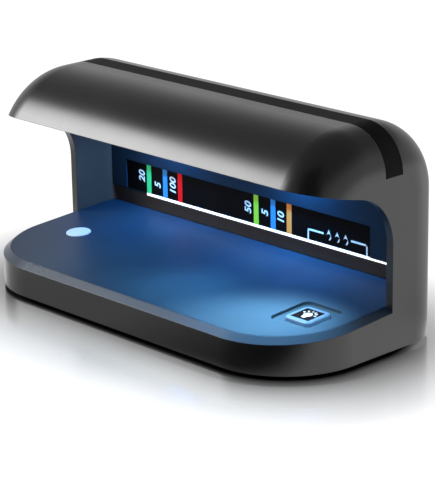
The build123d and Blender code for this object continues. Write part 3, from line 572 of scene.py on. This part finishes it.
def paint_floor():
    """A white floor that mirrors the object softly, close to it."""
    mesh = bpy.data.meshes.new("floor")
    bm = bmesh.new()
    bmesh.ops.create_grid(bm, x_segments=2, y_segments=2, size=FLOOR_HALF)
    bm.to_mesh(mesh)
    bm.free()
    material, tree, output = blank_material("floor_white")
    chalk = tree.nodes.new("ShaderNodeBsdfPrincipled")
    chalk.inputs["Base Color"].default_value = (0.12, 0.12, 0.12, 1)
    chalk.inputs["Specular IOR Level"].default_value = 0.0
    chalk.inputs["Emission Color"].default_value = (1, 1, 1, 1)
    chalk.inputs["Emission Strength"].default_value = 1.0
    tree.links.new(spread(tree, noise(tree, 60.0), 0.55, 0.7), chalk.inputs["Roughness"])
    sheen = tree.nodes.new("ShaderNodeBsdfGlossy")
    sheen.inputs["Color"].default_value = (0.42, 0.42, 0.42, 1)
    tree.links.new(spread(tree, noise(tree, 30.0), 0.16, 0.20), sheen.inputs["Roughness"])
    mixer = tree.nodes.new("ShaderNodeMixShader")
    tree.links.new(distance_fade(tree, 1.0, 0.0, SHEEN_REACH), mixer.inputs["Fac"])
    tree.links.new(chalk.outputs[0], mixer.inputs[1])
    tree.links.new(sheen.outputs[0], mixer.inputs[2])
    tree.links.new(mixer.outputs[0], output.inputs[0])
    mesh.materials.append(material)
    floor = new_object("floor", mesh)
    floor.location = (0, 0, cad_box[0][2] - FLOOR_GAP)
    floor.visible_glossy = False


def face_away(obj, place, away):
    """Puts a lamp at place with its back turned to the direction away."""
    turn = away.to_track_quat("Z", "Y").to_matrix().to_4x4()
    obj.matrix_world = Matrix.Translation(place) @ turn


def area_light(name, target, direction, distance, size, power, color=(1, 1, 1)):
    """A rectangular light at a distance from target in the given direction, facing it."""
    data = bpy.data.lights.new(name, "AREA")
    data.shape = "RECTANGLE"
    data.size, data.size_y = size
    data.energy = power
    data.color = color
    light = new_object(name, data)
    away = Vector(direction).normalized()
    face_away(light, Vector(target) + away * distance, away)
    return light


def paint_world():
    """A bright surrounding, dimmer overhead."""
    world = bpy.data.worlds.new("studio")
    bpy.context.scene.world = world
    world.use_nodes = True
    tree = world.node_tree
    tree.nodes.clear()
    output = tree.nodes.new("ShaderNodeOutputWorld")
    background = tree.nodes.new("ShaderNodeBackground")
    background.inputs["Color"].default_value = (1, 1, 1, 1)
    place = tree.nodes.new("ShaderNodeTexCoord")
    axes = tree.nodes.new("ShaderNodeSeparateXYZ")
    tree.links.new(place.outputs["Generated"], axes.inputs[0])
    fade = spread(tree, axes.outputs["Z"], 0.80, 0.22, 0.36, 0.66)
    tree.links.new(fade, background.inputs["Strength"])
    tree.links.new(background.outputs[0], output.inputs[0])


def reflection_card(name, corners, material):
    """A stage card that only reflections see, as a photographer sets beside a glossy object."""
    mesh = bpy.data.meshes.new(name)
    mesh.from_pydata(corners, [], [tuple(range(len(corners)))])
    mesh.materials.append(material)
    card = new_object(name, mesh)
    card.visible_camera = False
    card.visible_diffuse = False
    card.visible_shadow = False
    card.visible_transmission = False


def dark_card(name, target, direction, distance, width, height):
    """A black card at a distance from target in the given direction, facing it."""
    away = Vector(direction).normalized()
    turn = away.to_track_quat("Z", "Y").to_matrix()
    centre = Vector(target) + away * distance
    corners = [centre + turn @ Vector((side * width / 2, end * height / 2, 0))
               for side, end in ((-1, -1), (1, -1), (1, 1), (-1, 1))]
    material, tree, shader = new_material(name)
    shader.inputs["Base Color"].default_value = (0, 0, 0, 1)
    shader.inputs["Specular IOR Level"].default_value = 0.0
    tree.links.new(spread(tree, noise(tree, 9.0), 0.9, 1.0), shader.inputs["Roughness"])
    reflection_card(name, corners, material)


def reflected_floor():
    """What vertical faces mirror below them: a bright table, dark in front of the object."""
    material, tree, output = blank_material("reflected_floor")
    light = tree.nodes.new("ShaderNodeEmission")
    place = tree.nodes.new("ShaderNodeTexCoord")
    axes = tree.nodes.new("ShaderNodeSeparateXYZ")
    tree.links.new(place.outputs["Object"], axes.inputs[0])
    across, depth = axes.outputs["X"], axes.outputs["Y"]
    rear = spread(tree, depth, 0.0, REAR_GLOW, -0.062, -0.040)
    left = spread(tree, across, LEFT_GLOW, FRONT_GLOW, -0.13, -0.09)
    not_right = spread(tree, across, 1.0, 0.0, -0.02, 0.06)
    front = arithmetic(tree, "MULTIPLY", left, not_right)
    table = arithmetic(tree, "MAXIMUM", rear, front)
    behind = arithmetic(tree, "MULTIPLY", spread(tree, depth, 0.0, 1.0, 0.050, 0.070),
                        spread(tree, across, REAR_SHADE, 0.0, 0.10, 0.17))
    dimmed = arithmetic(tree, "SUBTRACT", table, behind)
    shaded = arithmetic(tree, "MULTIPLY", dimmed, distance_fade(tree, 0.0, 1.0, 0.003))
    tree.links.new(shaded, light.inputs["Strength"])
    tree.links.new(light.outputs[0], output.inputs[0])
    half, level = MIRROR_HALF, cad_box[0][2] - MIRROR_GAP
    corners = [(-half, -half, level), (half, -half, level), (half, half, level), (-half, half, level)]
    reflection_card("reflected_floor", corners, material)


paint_floor()
paint_world()
bpy.context.scene.view_settings.view_transform = "Standard"
middle = Vector((0, 0, 0.05))
area_light("key_left", middle, (-0.70, -0.53, 0.46), 1.1, (0.55, 0.50), 11.0)
dark_card("card_above", middle, (0.40, -0.50, 0.77), 0.9, 0.55, 0.5)
dark_card("card_front", middle, (0.66, -0.70, 0.24), 0.8, 0.75, 0.8)
reflected_floor()

# lamps in the chamber, which light it the way the photo shows and not from where the emitters sit
LAMP_GAP = 0.001             # below the clear window
POOL_Y = 0.0335              # the lamps of the wall's two pools hang close to the wall
POOL_SIZE = (0.012, 0.004)
UPWARD = (0, 0, 1)           # a lamp whose back is turned upward shines down
SPOT_Y, SPOT_Z = -0.020, 0.0775
DECK_Y, DECK_Z = -0.038, 0.019
SPOT_CONE = 92

lamp_low, lamp_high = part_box("uv_window")
lamp_y = (lamp_low.y + lamp_high.y) / 2
lamp_z = lamp_low.z - LAMP_GAP
lamps = [
    area_light("chamber_fill", (0.02, lamp_y, lamp_z), UPWARD, 0.0, (0.14, 0.02), 0.012,
               (0.08, 0.36, 1.0)),
    area_light("wall_pool_left", (-0.055, POOL_Y, lamp_z), UPWARD, 0.0, POOL_SIZE, 0.15,
               (0.09, 0.42, 1.0)),
    area_light("wall_pool_right", (0.034, POOL_Y, lamp_z), UPWARD, 0.0, POOL_SIZE, 0.22,
               (0.06, 0.42, 1.0)),
]


def spot(name, start, end, power, color):
    """A soft spot light at start that shines towards end."""
    data = bpy.data.lights.new(name, "SPOT")
    data.energy = power
    data.color = color
    data.spot_size = math.radians(SPOT_CONE)
    data.spot_blend = 1.0
    data.shadow_soft_size = 0.004
    light = new_object(name, data)
    face_away(light, Vector(start), (Vector(start) - Vector(end)).normalized())
    return light


pools = (("left", -0.040, 0.10, (0.40, 0.78, 1.0)), ("middle", 0.020, 0.50, (0.40, 0.78, 1.0)),
         ("right", 0.078, 2.1, (0.92, 0.98, 1.0)))
for label, x, power, color in pools:
    lamps.append(spot("deck_pool_" + label, (x, SPOT_Y, SPOT_Z), (x, DECK_Y, DECK_Z), power, color))
for lamp in lamps:
    lamp.visible_glossy = False
